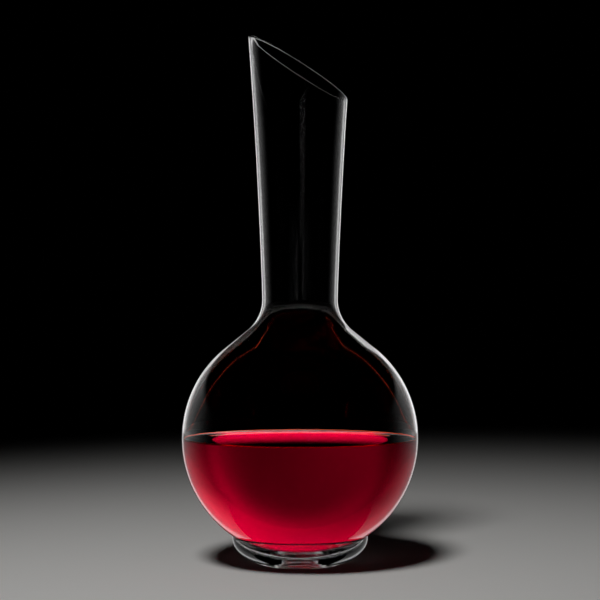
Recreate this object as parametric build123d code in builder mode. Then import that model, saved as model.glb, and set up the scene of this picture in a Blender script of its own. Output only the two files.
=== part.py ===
from build123d import *

import math
import os

# Wine decanter, in millimetres. The origin is the centre of the ring it stands on, +Z is up, and the mouth's
# high tip is on -X and its low pouring lip on +X. Everything but the slanted mouth is turned about Z.

# Driving dimensions
bowl_radius = 73.0  # outside, at the widest point
bowl_centre_height = 78.8
wall = 1.2  # blown glass, the same all over
shoulder_latitude = 51.3  # degrees above the bowl's widest point, where the ball runs into the shoulder's cone
shoulder_round = 23.0  # between the cone and the neck
neck_waist_radius = 23.0  # outside, where the cone would meet the neck before it is rounded
neck_middle_radius = 26.4  # outside
neck_middle_height = 236.0
neck_tip_radius = 32.2  # outside, at the mouth's high tip
total_height = 328.0  # to the high tip
mouth_slant = 32.5  # degrees from level
rim_round = 0.5  # fire-polished edge, on both sides of the wall

foot_radius = 42.0
heel_height = 17.5  # where the foot's side starts to curve under
heel_drop = 18.0  # vertical half-axis of the heel's ellipse, which the resting plane cuts a little short
heel_centre_radius = 10.0
foot_wall = 1.2
foot_base = 2.6  # top of the glass under the cavity
kick_radius = 14.0  # shallow hollow under the foot, inside the resting ring
kick_depth = 0.6

# Worked out from those
heel_angle = math.asin(heel_height / heel_drop)
ring_radius = heel_centre_radius + (foot_radius - heel_centre_radius) * math.cos(heel_angle)
cavity_radius = foot_radius - foot_wall
cavity_height = bowl_centre_height - math.sqrt(bowl_radius**2 - cavity_radius**2)
shoulder_angle = math.radians(shoulder_latitude)
mouth_plane = Plane(
    origin=(-neck_tip_radius, 0, total_height),
    z_dir=(math.tan(math.radians(mouth_slant)), 0, 1),
)
blank_rise = 10.0  # neck left above the high tip until the mouth is cut


def vessel_profile(inset):
    """Half section of the bowl, shoulder and neck, filled to the axis: inset 0 is the outside of the glass.

    It is drawn on YZ, which keeps the turned surfaces' seam away from the mouth's high and low tips."""
    ball_radius = bowl_radius - inset
    waist_radius = neck_waist_radius - inset
    shoulder_foot_radius = ball_radius * math.cos(shoulder_angle)
    shoulder_foot_height = bowl_centre_height + ball_radius * math.sin(shoulder_angle)
    waist_height = shoulder_foot_height + (shoulder_foot_radius - waist_radius) / math.tan(shoulder_angle)
    with BuildSketch(Plane.YZ) as profile:
        with BuildLine():
            ball = CenterArc((0, bowl_centre_height), ball_radius, -90, 90 + shoulder_latitude)
            shoulder = Line(ball @ 1, (waist_radius, waist_height))
            neck = ThreePointArc(
                shoulder @ 1,
                (neck_middle_radius - inset, neck_middle_height),
                (neck_tip_radius - inset, total_height),
            )
            blank = Line(neck @ 1, (neck @ 1) + (neck % 1) * (blank_rise + inset))
            Polyline(blank @ 1, (0, (blank @ 1).Y), ball @ 0)
        make_face()
        waist = profile.vertices().sort_by_distance((waist_radius, waist_height))[0]
        fillet(waist, shoulder_round + inset)
    return profile.sketch


# Blown shell: bowl, shoulder and neck in one wall, closed at the bottom and open at the slanted mouth
with BuildPart() as bowl_and_neck:
    revolve(vessel_profile(0), axis=Axis.Z)
    revolve(vessel_profile(wall), axis=Axis.Z, mode=Mode.SUBTRACT)
    split(bisect_by=mouth_plane, keep=Keep.BOTTOM)
    mouth = bowl_and_neck.faces().filter_by(mouth_plane)[0]
    fillet(mouth.edges(), rim_round)
bowl_and_neck.part.label = "bowl_and_neck"

# Foot: a hollow cup with a rounded heel, closed over by the ball, which its top edge is fused to
with BuildPart() as foot:
    with BuildSketch(Plane.XZ):
        with BuildLine():
            kick = ThreePointArc((0, kick_depth), (kick_radius / 2, 0.75 * kick_depth), (kick_radius, 0))
            ring = Line(kick @ 1, (ring_radius, 0))
            heel = EllipticalCenterArc(
                (heel_centre_radius, heel_height),
                foot_radius - heel_centre_radius,
                heel_drop,
                start_angle=-math.degrees(heel_angle),
                arc_size=math.degrees(heel_angle),
            )
            side = Line((foot_radius, heel_height), (foot_radius, bowl_centre_height))
            Polyline(side @ 1, (0, bowl_centre_height), kick @ 0)
        make_face()
        with Locations((0, bowl_centre_height)):
            Circle(bowl_radius, mode=Mode.SUBTRACT)
        with BuildLine():
            bend = EllipticalCenterArc(
                (heel_centre_radius, cavity_height),
                cavity_radius - heel_centre_radius,
                cavity_height - foot_base,
                start_angle=-90,
                arc_size=90,
            )
            inside = Line(bend @ 1, (cavity_radius, bowl_centre_height))
            Polyline(inside @ 1, (0, bowl_centre_height), (0, foot_base), bend @ 0)
        make_face(mode=Mode.SUBTRACT)
    revolve(axis=Axis.Z)
foot.part.label = "foot"

# Wine: fills the ball to its widest point, where it meets the most air
with BuildPart() as wine:
    with BuildSketch(Plane.XZ):
        with BuildLine():
            bottom = CenterArc((0, bowl_centre_height), bowl_radius - wall, -90, 90)
            Polyline(bottom @ 1, (0, bowl_centre_height), bottom @ 0)
        make_face()
    revolve(axis=Axis.Z)
wine.part.label = "wine"

os.makedirs("parts", exist_ok=True)
export_step(bowl_and_neck.part, "parts/bowl_and_neck.step")
export_step(foot.part, "parts/foot.step")
export_step(wine.part, "parts/wine.step")
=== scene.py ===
import math

import bmesh
import bpy
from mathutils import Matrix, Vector


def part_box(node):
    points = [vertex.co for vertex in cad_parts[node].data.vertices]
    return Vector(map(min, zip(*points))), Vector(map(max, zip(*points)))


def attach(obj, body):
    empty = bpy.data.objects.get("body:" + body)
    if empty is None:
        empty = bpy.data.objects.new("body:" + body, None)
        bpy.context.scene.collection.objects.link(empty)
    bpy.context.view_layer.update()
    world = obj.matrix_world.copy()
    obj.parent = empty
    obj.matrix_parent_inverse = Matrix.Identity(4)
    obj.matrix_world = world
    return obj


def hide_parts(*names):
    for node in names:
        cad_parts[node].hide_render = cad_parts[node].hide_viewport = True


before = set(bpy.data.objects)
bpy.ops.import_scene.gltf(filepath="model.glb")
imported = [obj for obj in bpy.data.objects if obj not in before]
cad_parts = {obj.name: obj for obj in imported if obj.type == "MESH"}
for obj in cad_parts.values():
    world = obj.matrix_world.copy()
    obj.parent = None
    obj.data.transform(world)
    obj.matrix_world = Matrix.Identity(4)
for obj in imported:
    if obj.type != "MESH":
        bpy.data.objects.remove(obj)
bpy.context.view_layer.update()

MM = 0.001

# ---------------------------------------------------------------- sizes, in metres, from the frame
bowl_low, bowl_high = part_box("bowl_and_neck")
wine_low, wine_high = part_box("wine")
foot_low, foot_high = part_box("foot")
BOWL_RADIUS = (bowl_high.x - bowl_low.x) / 2
BOWL_CENTRE = wine_high.z
WALL = BOWL_RADIUS - (wine_high.x - wine_low.x) / 2
FOOT_RADIUS = (foot_high.x - foot_low.x) / 2

# The neck and shoulder, as the CAD model has them
SHOULDER_LATITUDE = math.radians(51.3)
SHOULDER_ROUND = 23.0 * MM
WAIST_RADIUS = 23.0 * MM
NECK_MIDDLE = (26.4 * MM, 236.0 * MM)
NECK_TIP = (32.2 * MM, 328.0 * MM)
MOUTH_SLOPE = math.tan(math.radians(32.5))
RIM_HEIGHT = 1.0 * MM  # how far the fire-polished edge rounds over

# The foot
HEEL_HEIGHT = 17.5 * MM
HEEL_DROP = 18.0 * MM
HEEL_CENTRE = 10.0 * MM
KICK_RADIUS = 14.0 * MM
KICK_DEPTH = 0.6 * MM
FOOT_WALL = 1.2 * MM
FOOT_BASE = 2.6 * MM

# The wine's surface climbs the glass in a meniscus
WINE_LEVEL = BOWL_CENTRE - 0.8 * MM
MENISCUS_HEIGHT = 1.3 * MM
MENISCUS_REACH = 2.2 * MM
OVERLAP = 0.05 * MM  # the wine's side lies this deep in the glass, so that no two surfaces share a place
FILM = 0.02 * MM  # between the wine's surface and the top of its body

# How finely the meshes are divided: columns round the axis, and rows along each part of a section
TURNS = 256
BALL_ROWS = 72
BOTTOM_ROWS = 24  # of the ball's outside, over the foot's cavity
JOINT_ROWS = 4
AIR_ROWS = 48  # of the ball's inside, above the wine
BEND_ROWS = 24
STRAIGHT_ROWS = 4
NECK_ROWS = 40
RIM_ROWS = 12
KICK_ROWS = 16
FOOT_ROWS = 40  # of the heel, and of the cavity
LEVEL_ROWS = 16  # of the wine's surface, where it is level
MENISCUS_ROWS = 40
MENISCUS_START = 12 * MM  # how far in from the glass the surface's rows get closer together
THIN_ROWS = 2  # of the surface, against the glass, where the wine is thin

# ---------------------------------------------------------------- looks
GLASS_IOR = 1.52
WINE_IOR = 1.34
COLOURLESS = (1, 1, 1, 1)
WAVE_SCALE = 60.0  # waves per metre round the glass
WAVE_STRETCH = (1, 1, 0.2)  # drawn out upwards
WAVE_DEPTH = 0.06 * MM
WINE_TINT = (1, 0.0, 0.055, 1)  # what passing into and out of the wine does to white light
WINE_SOAK = (0.90, 0.0, 0.88, 1)  # how far the wine's depth spares each colour
WINE_DENSITY = 80.0
THIN_WINE_COLOUR = (1.0, 0.12, 0.05, 1)
THIN_WINE_CLEARNESS = 0.2
FLOOR_COLOUR = (0.78, 0.77, 0.75, 1)

# ---------------------------------------------------------------- lights and camera, in metres
FLOOR_RADIUS = 1.5
LAMP_PLACE = Vector((-0.25, -0.75, 1.15))
LAMP_POWER = 34  # watts
LAMP_CONE = math.radians(50)
LAMP_SOFTNESS = 0.15

# The right-hand soft box, which the left-hand one mirrors. Its upright edges are (x, y) points.
SIDE_BOX_BACK = (0.36, 2.0)
SIDE_BOX_FRONT = (2.0, 0.34)
SIDE_BOX_MIDDLE = -0.4  # height of its middle
SIDE_BOX_HEIGHT = 2.4
TOP_BOX_PLACE = (0.5, 2.4, 1.6)
TOP_BOX_AIM = (0.5, 0, 1.6)
TOP_BOX_SIZE = (1.2, 1.9)

# Sections of the glowing rings round the decanter, as (radius, height) points
CARD = [(0.140, 0.0765), (0.140, 0.045)]
SHEET = [(0.0745, 0.0765), (0.140, 0.0765)]
FLOOR_RING = [(0.125, 0.0001), (0.0195, 0.0001)]
RIM_LIGHT = [(0.060, 0.084), (0.0695, 0.084)]

SENSOR = 36  # millimetres
CAMERA_DISTANCE = 1.02
CAMERA_HEIGHT = 0.1554
CAMERA_SHIFT = 0.024
FIELD = 0.3716  # how much of the decanter's plane the picture takes in


# ---------------------------------------------------------------- sections, as (radius, height) points
def arc(centre, radius, start, end, steps):
    """Points round a circle from one angle to the other, in radians, counted from +radius towards +Z."""
    angles = [start + (end - start) * i / steps for i in range(steps + 1)]
    return [(centre[0] + radius * math.cos(a), centre[1] + radius * math.sin(a)) for a in angles]


def up_from_bottom(radius, end, steps):
    """Points on a ball about the bowl's centre, from its lowest point up to an angle."""
    points = arc((0, BOWL_CENTRE), radius, -math.pi / 2, end, steps)
    return [(0, points[0][1])] + points[1:]


def between(start, end, steps):
    """Points along a straight run, with its end and without its start."""
    return [
        (start[0] + (end[0] - start[0]) * i / steps, start[1] + (end[1] - start[1]) * i / steps)
        for i in range(1, steps + 1)
    ]


def rounded(before, corner, after, radius, steps):
    """The arc that rounds a corner between two straight runs."""
    before, corner, after = Vector(before), Vector(corner), Vector(after)
    inward, outward = (before - corner).normalized(), (after - corner).normalized()
    half = inward.angle(outward) / 2
    centre = corner + (inward + outward).normalized() * radius / math.sin(half)
    start = corner + inward * radius / math.tan(half) - centre
    end = corner + outward * radius / math.tan(half) - centre
    turn = start.angle_signed(end)
    points = []
    for i in range(steps + 1):
        a = -turn * i / steps
        x = start.x * math.cos(a) - start.y * math.sin(a)
        y = start.x * math.sin(a) + start.y * math.cos(a)
        points.append((centre.x + x, centre.y + y))
    return points


def circle_through(a, b, c):
    """Centre and radius of the circle through three points."""
    d = 2 * (a[0] * (b[1] - c[1]) + b[0] * (c[1] - a[1]) + c[0] * (a[1] - b[1]))
    squares = [p[0] ** 2 + p[1] ** 2 for p in (a, b, c)]
    x = (squares[0] * (b[1] - c[1]) + squares[1] * (c[1] - a[1]) + squares[2] * (a[1] - b[1])) / d
    y = (squares[0] * (c[0] - b[0]) + squares[1] * (a[0] - c[0]) + squares[2] * (b[0] - a[0])) / d
    return (x, y), math.hypot(a[0] - x, a[1] - y)


def waist_corner(inset):
    """Where the shoulder's cone would meet the neck."""
    ball = BOWL_RADIUS - inset
    radius = WAIST_RADIUS - inset
    rise = (ball * math.cos(SHOULDER_LATITUDE) - radius) / math.tan(SHOULDER_LATITUDE)
    return radius, BOWL_CENTRE + ball * math.sin(SHOULDER_LATITUDE) + rise


def neck_radius(height, inset):
    """The neck's gentle flare, one large arc from the waist to the high tip."""
    middle = (NECK_MIDDLE[0] - inset, NECK_MIDDLE[1])
    tip = (NECK_TIP[0] - inset, NECK_TIP[1])
    centre, radius = circle_through(waist_corner(inset), middle, tip)
    return centre[0] - math.sqrt(radius**2 - (height - centre[1]) ** 2)


def mouth_height(x):
    """The slanted plane that the mouth is cut to."""
    return NECK_TIP[1] - MOUTH_SLOPE * (x + NECK_TIP[0])


def neck_top(angle, inset):
    """Where the neck's wall meets the rim's rounding on that side, as (radius, height)."""
    height = NECK_MIDDLE[1]
    for _ in range(12):  # each round brings the height and the flare closer to agreeing
        radius = neck_radius(height, inset)
        height = mouth_height(radius * math.cos(angle)) - RIM_HEIGHT
    return radius, height


def vessel_side(inset, low_angle, steps):
    """Ball and shoulder, from just above an angle on the ball up to where the neck starts."""
    points = arc((0, BOWL_CENTRE), BOWL_RADIUS - inset, low_angle, SHOULDER_LATITUDE, steps)
    corner = waist_corner(inset)
    above = corner[1] + 2 * SHOULDER_ROUND
    neck_point = (neck_radius(above, inset), above)
    bend = rounded(points[-1], corner, neck_point, SHOULDER_ROUND + inset, BEND_ROWS)
    return points[1:] + between(points[-1], bend[0], STRAIGHT_ROWS)[:-1] + bend


def neck(start, angle, inset):
    """The neck's wall from the waist to the rim, with its rows closer together on the mouth's low side."""
    low = start[1]
    top = neck_top(angle, inset)[1]
    heights = [low + (top - low) * i / NECK_ROWS for i in range(1, NECK_ROWS + 1)]
    return [(neck_radius(h, inset), h) for h in heights]


def rim(angle):
    """Half-round fire-polished edge from the outside of the wall to the inside."""
    outer = neck_top(angle, 0)
    inner = neck_top(angle, WALL)
    middle, half = (outer[0] + inner[0]) / 2, (outer[0] - inner[0]) / 2
    points = []
    for i in range(1, RIM_ROWS):
        turn = math.pi * i / RIM_ROWS
        radius = middle + half * math.cos(turn)
        rise = RIM_HEIGHT * (math.sin(turn) - 1)
        points.append((radius, mouth_height(radius * math.cos(angle)) + rise))
    return points


def kick():
    """The shallow hollow under the foot, from the axis out to the resting ring."""
    ball = (KICK_RADIUS**2 + KICK_DEPTH**2) / (2 * KICK_DEPTH)
    radii = [KICK_RADIUS * i / KICK_ROWS for i in range(KICK_ROWS + 1)]
    return [(r, KICK_DEPTH - ball + math.sqrt(ball**2 - r**2)) for r in radii]


def cup_side(radius, top, drop, start, end):
    """Points on an ellipse about the heel's centre, from one angle to the other, counted down from level."""
    angles = [start + (end - start) * i / FOOT_ROWS for i in range(FOOT_ROWS + 1)]
    return [(HEEL_CENTRE + (radius - HEEL_CENTRE) * math.cos(a), top - drop * math.sin(a)) for a in angles]


# ---------------------------------------------------------------- where the sections meet
INNER_RADIUS = BOWL_RADIUS - WALL
JOIN_HEIGHT = BOWL_CENTRE - math.sqrt(BOWL_RADIUS**2 - FOOT_RADIUS**2)
JOIN_ANGLE = math.asin((JOIN_HEIGHT - BOWL_CENTRE) / BOWL_RADIUS)
CAVITY_RADIUS = FOOT_RADIUS - FOOT_WALL
CAVITY_TOP = BOWL_CENTRE - math.sqrt(BOWL_RADIUS**2 - CAVITY_RADIUS**2)
CAVITY_ANGLE = math.asin((CAVITY_TOP - BOWL_CENTRE) / BOWL_RADIUS)
CONTACT_HEIGHT = WINE_LEVEL + MENISCUS_HEIGHT
CONTACT_ANGLE = math.asin((CONTACT_HEIGHT - BOWL_CENTRE) / INNER_RADIUS)
CONTACT_RADIUS = INNER_RADIUS * math.cos(CONTACT_ANGLE)

OVER_CAVITY = up_from_bottom(BOWL_RADIUS, CAVITY_ANGLE, BOTTOM_ROWS)
JOINT = arc((0, BOWL_CENTRE), BOWL_RADIUS, CAVITY_ANGLE, JOIN_ANGLE, JOINT_ROWS)
OUTER_SIDE = vessel_side(0, JOIN_ANGLE, BALL_ROWS)
WETTED = up_from_bottom(INNER_RADIUS, CONTACT_ANGLE, BALL_ROWS)
INNER_SIDE = vessel_side(WALL, CONTACT_ANGLE, AIR_ROWS)


def vessel_section(angle):
    """Up the outside from the bottom, over the rim, and down the inside."""
    outside = OVER_CAVITY + JOINT[1:] + OUTER_SIDE + neck(OUTER_SIDE[-1], angle, 0)
    inside = WETTED + INNER_SIDE + neck(INNER_SIDE[-1], angle, WALL)
    return outside + rim(angle) + inside[::-1]


def foot_section():
    """Out along the underside, up the heel, in along the joint, and down the cavity."""
    heel = cup_side(FOOT_RADIUS, HEEL_HEIGHT, HEEL_DROP, math.asin(HEEL_HEIGHT / HEEL_DROP), 0)
    side = between(heel[-1], JOINT[-1], STRAIGHT_ROWS)[:-1]
    cavity = cup_side(CAVITY_RADIUS, CAVITY_TOP, CAVITY_TOP - FOOT_BASE, 0, math.pi / 2)[1:]
    return kick() + heel + side + JOINT[::-1] + cavity + [(0, FOOT_BASE)]


def surface_profile(drop):
    """The wine's surface from the glass to the axis, with its rows closer together in the meniscus."""
    edge = CONTACT_RADIUS + OVERLAP
    level = CONTACT_RADIUS - MENISCUS_START
    radii = [level * i / LEVEL_ROWS for i in range(LEVEL_ROWS)]
    radii += [level + (edge - level) * i / MENISCUS_ROWS for i in range(MENISCUS_ROWS + 1)]
    points = []
    for radius in radii[::-1]:
        reach = min(radius, CONTACT_RADIUS) - CONTACT_RADIUS
        points.append((radius, WINE_LEVEL + MENISCUS_HEIGHT * math.exp(reach / MENISCUS_REACH) - drop))
    return points


def wine_section():
    """Up the wine's side and in along its top, a film below its surface."""
    side = up_from_bottom(INNER_RADIUS + OVERLAP, CONTACT_ANGLE, BALL_ROWS)
    return side[:-1] + surface_profile(FILM)


# ---------------------------------------------------------------- turned meshes
ANGLES = [2 * math.pi * i / TURNS for i in range(TURNS)]


def turned(name, columns, materials, slots):
    """A mesh about Z from one section for each angle. slots has the material of each row of faces."""
    bm = bmesh.new()
    rows = []
    for j, (first_radius, first_height) in enumerate(columns[0]):
        if first_radius < 1e-9:
            pole = bm.verts.new((0, 0, first_height))
            rows.append([pole] * TURNS)
            continue
        ring = []
        for angle, column in zip(ANGLES, columns):
            radius, height = column[j]
            ring.append(bm.verts.new((radius * math.cos(angle), radius * math.sin(angle), height)))
        rows.append(ring)
    for j, (low, high) in enumerate(zip(rows, rows[1:])):
        for i in range(TURNS):
            k = (i + 1) % TURNS
            corners = [low[i], low[k], high[k], high[i]]
            face = bm.faces.new(list(dict.fromkeys(corners)))  # a pole's two corners are one
            face.smooth = True
            face.material_index = slots[j]
    mesh = bpy.data.meshes.new(name)
    bm.to_mesh(mesh)
    bm.free()
    piece = bpy.data.objects.new(name, mesh)
    bpy.context.scene.collection.objects.link(piece)
    for material in materials:
        mesh.materials.append(material)
    return piece


# ---------------------------------------------------------------- materials
def new_material(name):
    material = bpy.data.materials.new(name)
    material.use_nodes = True
    return material, material.node_tree.nodes["Principled BSDF"]


def clear(name, ior):
    """Perfectly clear and smooth: still wine's surface, or glass where it is wet or fused."""
    material, shader = new_material(name)
    shader.inputs["Base Color"].default_value = COLOURLESS
    shader.inputs["Roughness"].default_value = 0.0
    shader.inputs["Transmission Weight"].default_value = 1.0
    shader.inputs["IOR"].default_value = ior
    return material


def blown_glass(name):
    """Clear glass with the faint waves that blowing leaves in it."""
    material = clear(name, GLASS_IOR)
    nodes, links = material.node_tree.nodes, material.node_tree.links
    place = nodes.new("ShaderNodeTexCoord")
    stretch = nodes.new("ShaderNodeMapping")
    stretch.inputs["Scale"].default_value = WAVE_STRETCH
    waves = nodes.new("ShaderNodeTexNoise")
    waves.inputs["Scale"].default_value = WAVE_SCALE
    waves.inputs["Detail"].default_value = 1.0
    bump = nodes.new("ShaderNodeBump")
    bump.inputs["Strength"].default_value = 1.0
    bump.inputs["Distance"].default_value = WAVE_DEPTH
    links.new(place.outputs["Object"], stretch.inputs["Vector"])
    links.new(stretch.outputs["Vector"], waves.inputs["Vector"])
    links.new(waves.outputs["Fac"], bump.inputs["Height"])
    links.new(bump.outputs["Normal"], nodes["Principled BSDF"].inputs["Normal"])
    return material


def thin_wine(name):
    """The wine's surface against the glass, where it is so thin that it glows in its own colour."""
    material = clear(name, WINE_IOR)
    shader = material.node_tree.nodes["Principled BSDF"]
    shader.inputs["Base Color"].default_value = THIN_WINE_COLOUR
    shader.inputs["Transmission Weight"].default_value = THIN_WINE_CLEARNESS
    return material


def red_wine(name):
    """Only soaks up light: the surface above it and the glass round it do the bending."""
    material = clear(name, 1.0)
    nodes, links = material.node_tree.nodes, material.node_tree.links
    nodes["Principled BSDF"].inputs["Base Color"].default_value = WINE_TINT
    soak = nodes.new("ShaderNodeVolumeAbsorption")
    soak.inputs["Color"].default_value = WINE_SOAK
    soak.inputs["Density"].default_value = WINE_DENSITY
    links.new(soak.outputs[0], nodes["Material Output"].inputs["Volume"])
    return material


def plain_floor(name):
    material, shader = new_material(name)
    shader.inputs["Base Color"].default_value = FLOOR_COLOUR
    shader.inputs["Roughness"].default_value = 0.9
    shader.inputs["Specular IOR Level"].default_value = 0.0
    return material


GLASS = blown_glass("clear_glass")
WET_GLASS = clear("glass_against_wine", GLASS_IOR / WINE_IOR)
FUSED_GLASS = clear("glass_fused_to_glass", 1.0)
WINE_SURFACE = clear("wine_surface", WINE_IOR)
WINE = red_wine("red_wine")
THIN_WINE = thin_wine("thin_wine")

# ---------------------------------------------------------------- the decanter
vessel_columns = [vessel_section(angle) for angle in ANGLES]
dry_rows = len(vessel_columns[0]) - 1 - BOTTOM_ROWS - JOINT_ROWS - BALL_ROWS
vessel_slots = [0] * BOTTOM_ROWS + [2] * JOINT_ROWS + [0] * dry_rows + [1] * BALL_ROWS
vessel = turned("bowl_and_neck_glass", vessel_columns, [GLASS, WET_GLASS, FUSED_GLASS], vessel_slots)

foot_points = foot_section()
cavity_rows = FOOT_ROWS + 1
outer_rows = len(foot_points) - 1 - JOINT_ROWS - cavity_rows
foot_slots = [0] * outer_rows + [1] * JOINT_ROWS + [0] * cavity_rows
foot = turned("foot_glass", [foot_points] * TURNS, [GLASS, FUSED_GLASS], foot_slots)

wine_points = wine_section()
wine = turned("wine_body", [wine_points] * TURNS, [WINE], [0] * len(wine_points))

surface_points = surface_profile(0)
surface_slots = [1] * THIN_ROWS + [0] * (len(surface_points) - 1 - THIN_ROWS)
surface = turned("wine_top", [surface_points] * TURNS, [WINE_SURFACE, THIN_WINE], surface_slots)

for piece, node, slot in (
    (vessel, "bowl_and_neck", "clear_glass"),
    (foot, "foot", "clear_glass"),
    (wine, "wine", "red_wine"),
    (surface, "wine", "red_wine"),
):
    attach(piece, "root")
    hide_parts(node)

# ---------------------------------------------------------------- floor
bpy.ops.mesh.primitive_circle_add(vertices=128, radius=FLOOR_RADIUS, fill_type="NGON")
floor = bpy.context.object
floor.name = "floor"
floor.data.materials.append(plain_floor("floor"))
floor.visible_glossy = False


# ---------------------------------------------------------------- lights
class Wiring:
    """Short ways to add the nodes that shape a light's brightness."""

    def __init__(self, tree):
        self.nodes, self.links = tree.nodes, tree.links
        place = self.nodes.new("ShaderNodeNewGeometry")
        split = self.nodes.new("ShaderNodeSeparateXYZ")
        self.links.new(place.outputs["Position"], split.inputs[0])
        self.x, self.y, self.z = split.outputs
        self.backfacing = place.outputs["Backfacing"]

    def math(self, operation, *values):
        node = self.nodes.new("ShaderNodeMath")
        node.operation = operation
        for socket, value in zip(node.inputs, values):
            if isinstance(value, (int, float)):
                socket.default_value = value
            else:
                self.links.new(value, socket)
        return node.outputs[0]

    def product(self, first, *others):
        for other in others:
            first = self.math("MULTIPLY", first, other)
        return first

    def ramp(self, value, start, end, low=0.0, high=1.0):
        """low up to start, then smoothly to high at end."""
        node = self.nodes.new("ShaderNodeMapRange")
        node.interpolation_type = "SMOOTHSTEP"
        for name, number in (("From Min", start), ("From Max", end), ("To Min", low), ("To Max", high)):
            node.inputs[name].default_value = number
        self.links.new(value, node.inputs["Value"])
        return node.outputs[0]

    def bearing(self):
        """Degrees to either side of straight behind the decanter."""
        aside = self.math("ABSOLUTE", self.x)
        return self.math("DEGREES", self.math("ARCTAN2", aside, self.y))

    def from_axis(self):
        """Distance from the decanter's axis."""
        squares = [self.math("POWER", value, 2.0) for value in (self.x, self.y)]
        return self.math("SQRT", self.math("ADD", *squares))


def add_light(name, data, place, direction):
    light = bpy.data.objects.new(name, data)
    light.location = place
    light.rotation_mode = "QUATERNION"
    light.rotation_quaternion = direction.to_track_quat("-Z", "Y")
    bpy.context.scene.collection.objects.link(light)
    return light


def only_in_glass(thing, glossy):
    """A light that shows through the glass, and in its reflections if glossy, and nowhere else."""
    thing.visible_camera = False
    thing.visible_diffuse = False
    thing.visible_glossy = glossy
    thing.visible_shadow = False
    thing.visible_volume_scatter = False


def soft_box(name, place, aim, width, height, shape_brightness):
    """A softbox whose brightness over its face comes from a function of its wiring."""
    data = bpy.data.lights.new(name, "AREA")
    data.shape = "RECTANGLE"
    data.size, data.size_y = width, height
    data.energy = math.pi * width * height
    data.use_nodes = True
    wiring = Wiring(data.node_tree)
    wiring.links.new(shape_brightness(wiring), wiring.nodes["Emission"].inputs["Strength"])
    only_in_glass(add_light(name, data, place, Vector(aim) - Vector(place)), True)


def glow(name, profile, shape_brightness):
    """A ring of soft light round the decanter, lit on one side, which its profile's direction chooses."""
    material, shader = new_material(name)
    nodes, links = material.node_tree.nodes, material.node_tree.links
    nodes.remove(shader)
    emission = nodes.new("ShaderNodeEmission")
    links.new(emission.outputs[0], nodes["Material Output"].inputs["Surface"])
    wiring = Wiring(material.node_tree)
    front = wiring.math("SUBTRACT", 1.0, wiring.backfacing)
    links.new(wiring.product(front, shape_brightness(wiring)), emission.inputs["Strength"])
    ring = turned(name, [profile] * TURNS, [material], [0] * len(profile))
    only_in_glass(ring, False)
    return ring


def side_brightness(wiring):
    """Dark straight behind, then a bright strip, then a dim wash that fades out towards the side."""
    strip = wiring.ramp(wiring.bearing(), 21.0, 28.0, 0.65, 0.0)
    wash = wiring.ramp(wiring.bearing(), 25.0, 80.0, 0.28, 0.0)
    dark_middle = wiring.ramp(wiring.bearing(), 11.5, 17.0)
    dark_top = wiring.ramp(wiring.z, 0.54, 0.72, 1.0, 0.0)
    return wiring.product(wiring.math("ADD", strip, wash), dark_middle, dark_top)


def top_brightness(wiring):
    """Brighter to the right, and fading in above the picture."""
    right = wiring.ramp(wiring.x, -0.9, 0.7, 0.5, 1.6)
    edge = wiring.ramp(wiring.z, 0.71, 0.78)
    upward = wiring.ramp(wiring.z, 0.75, 1.9, 0.35, 1.1)
    return wiring.product(right, edge, upward)


def behind_and_left(wiring):
    """Only behind the decanter, and brightest just on +X, which the round wine turns over to its left."""
    behind = wiring.ramp(wiring.y, 0.005, 0.03)
    rise = wiring.ramp(wiring.x, -0.010, 0.006, 0.35, 1.4)
    fall = wiring.ramp(wiring.x, 0.005, 0.014, 1.0, 0.5)
    return wiring.product(behind, rise, fall)


def card_brightness(wiring):
    """What shows through most of the wine: dim low down, and bright towards the sheet."""
    return wiring.product(behind_and_left(wiring), wiring.ramp(wiring.z, 0.066, 0.0775, 0.22, 0.8))


def sheet_brightness(wiring):
    """What shows through the lowest part of the wine, as the light there leaves it upwards."""
    return wiring.product(behind_and_left(wiring), wiring.ramp(wiring.from_axis(), 0.085, 0.14, 1.9, 1.0))


def floor_ring_brightness(wiring):
    """What shows through the wine's surface: only well behind the foot, and brighter farther back."""
    behind = wiring.ramp(wiring.y, 0.05, 0.09)
    middle = wiring.ramp(wiring.bearing(), 30.0, 45.0, 1.0, 0.0)
    outward = wiring.ramp(wiring.from_axis(), 0.05, 0.118, 0.3, 3.2)
    return wiring.product(behind, middle, outward)


def rim_brightness(wiring):
    """What lights the wine's thin edge: brighter behind."""
    return wiring.ramp(wiring.y, -0.05, 0.0, 2.0, 3.5)


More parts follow.
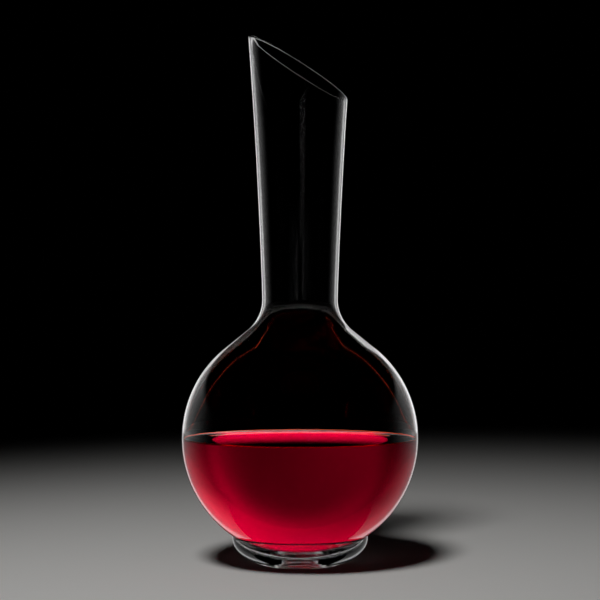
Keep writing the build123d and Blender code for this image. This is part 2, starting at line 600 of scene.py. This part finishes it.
# One soft lamp, high in front, makes a pool of light on the floor and throws the shadow back
lamp_data = bpy.data.lights.new("lamp", "SPOT")
lamp_data.energy = LAMP_POWER
lamp_data.spot_size = LAMP_CONE
lamp_data.spot_blend = 1.0
lamp_data.shadow_soft_size = LAMP_SOFTNESS
lamp = add_light("lamp", lamp_data, LAMP_PLACE, -LAMP_PLACE)
lamp.visible_camera = False
lamp.visible_glossy = False
lamp.visible_transmission = False

# Soft boxes behind draw the glass's bright outlines
for side in (-1, 1):
    back = Vector((side * SIDE_BOX_BACK[0], SIDE_BOX_BACK[1], SIDE_BOX_MIDDLE))
    front = Vector((side * SIDE_BOX_FRONT[0], SIDE_BOX_FRONT[1], SIDE_BOX_MIDDLE))
    middle = (back + front) / 2
    facing = Vector((front.y - back.y, back.x - front.x, 0)) * side
    width = (front - back).length
    soft_box(f"side_box_{side}", middle, middle + facing, width, SIDE_BOX_HEIGHT, side_brightness)
soft_box("top_box", TOP_BOX_PLACE, TOP_BOX_AIM, *TOP_BOX_SIZE, top_brightness)

# Rings of light that the wine bends into view
glow("card", CARD, card_brightness)
glow("sheet", SHEET, sheet_brightness)
glow("floor_ring", FLOOR_RING, floor_ring_brightness)

# This one isn't seen: it only lights the wine's thin edge
rim_light = glow("rim_light", RIM_LIGHT, rim_brightness)
rim_light.visible_diffuse = True
rim_light.visible_transmission = False

world = bpy.data.worlds.new("studio")
bpy.context.scene.world = world
world.use_nodes = True
world.node_tree.nodes["Background"].inputs["Color"].default_value = (0, 0, 0, 1)
world.node_tree.nodes["Background"].inputs["Strength"].default_value = 0.0

# ---------------------------------------------------------------- camera
camera_data = bpy.data.cameras.new("camera")
camera_data.sensor_width = SENSOR
camera_data.lens = SENSOR * CAMERA_DISTANCE / FIELD
camera_data.shift_y = CAMERA_SHIFT
camera = bpy.data.objects.new("camera", camera_data)
camera.location = (0, -CAMERA_DISTANCE, CAMERA_HEIGHT)
camera.rotation_euler = (math.pi / 2, 0, 0)
bpy.context.scene.collection.objects.link(camera)
bpy.context.scene.camera = camera

bpy.context.scene.view_settings.view_transform = "Standard"
bpy.context.scene.cycles.max_bounces = 32
bpy.context.scene.cycles.transmission_bounces = 32
bpy.context.scene.cycles.glossy_bounces = 16
